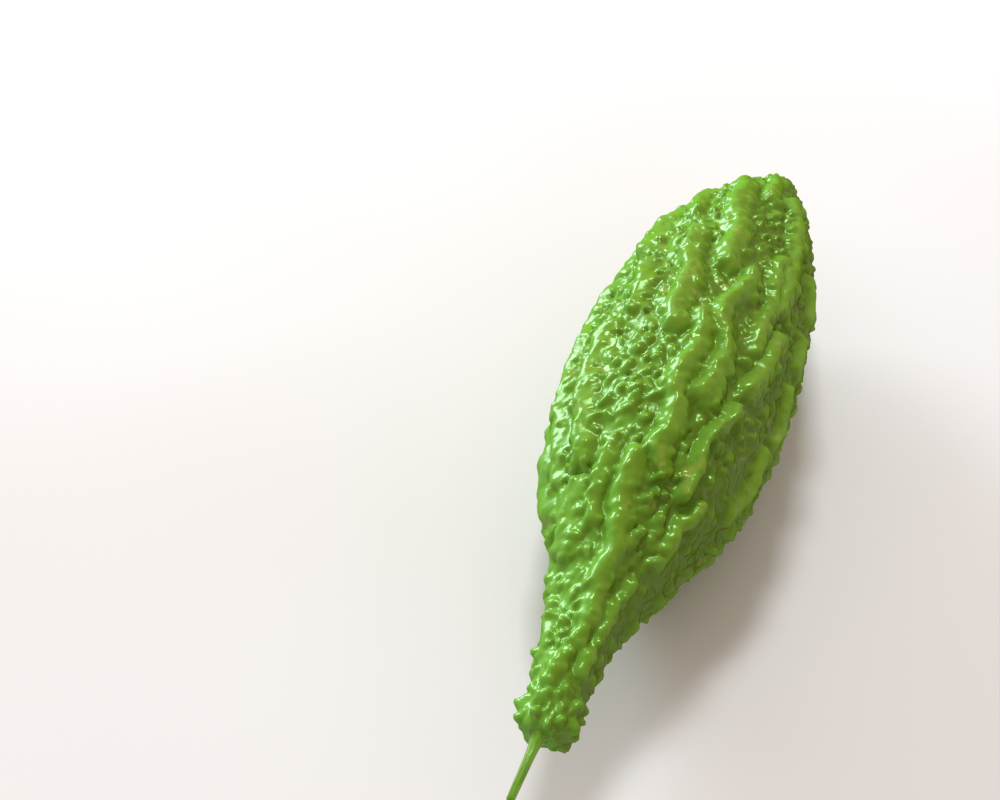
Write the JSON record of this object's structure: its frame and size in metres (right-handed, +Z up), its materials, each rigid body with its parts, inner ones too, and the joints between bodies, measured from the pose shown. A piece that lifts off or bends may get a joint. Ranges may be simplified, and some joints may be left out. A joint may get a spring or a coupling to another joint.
{
  "type": "bitter gourd",
  "caption": "Whole bitter gourd lying on its side: spindle-shaped green fruit with broken lengthwise ridges and wart-like tubercles, narrow neck with a thin green stalk, pointed blossom tip",
  "frame": {"origin": "On the surface that the gourd lies on, under the middle of its bounding box", "axes": "+X from the neck and stalk towards the blossom tip, +Z up"},
  "size_m": [0.2172, 0.0564, 0.0562],
  "materials": {
    "skin": "Smooth waxy green rind, mottled from leaf green on the ridges to darker green in the pits, with faint yellow-brown flecks",
    "stalk": "Pale green smooth stem with fine lengthwise lines"
  },
  "bodies": {
    "root": {"fruit": "skin", "stalk": "stalk"}
  },
  "joints": []
}
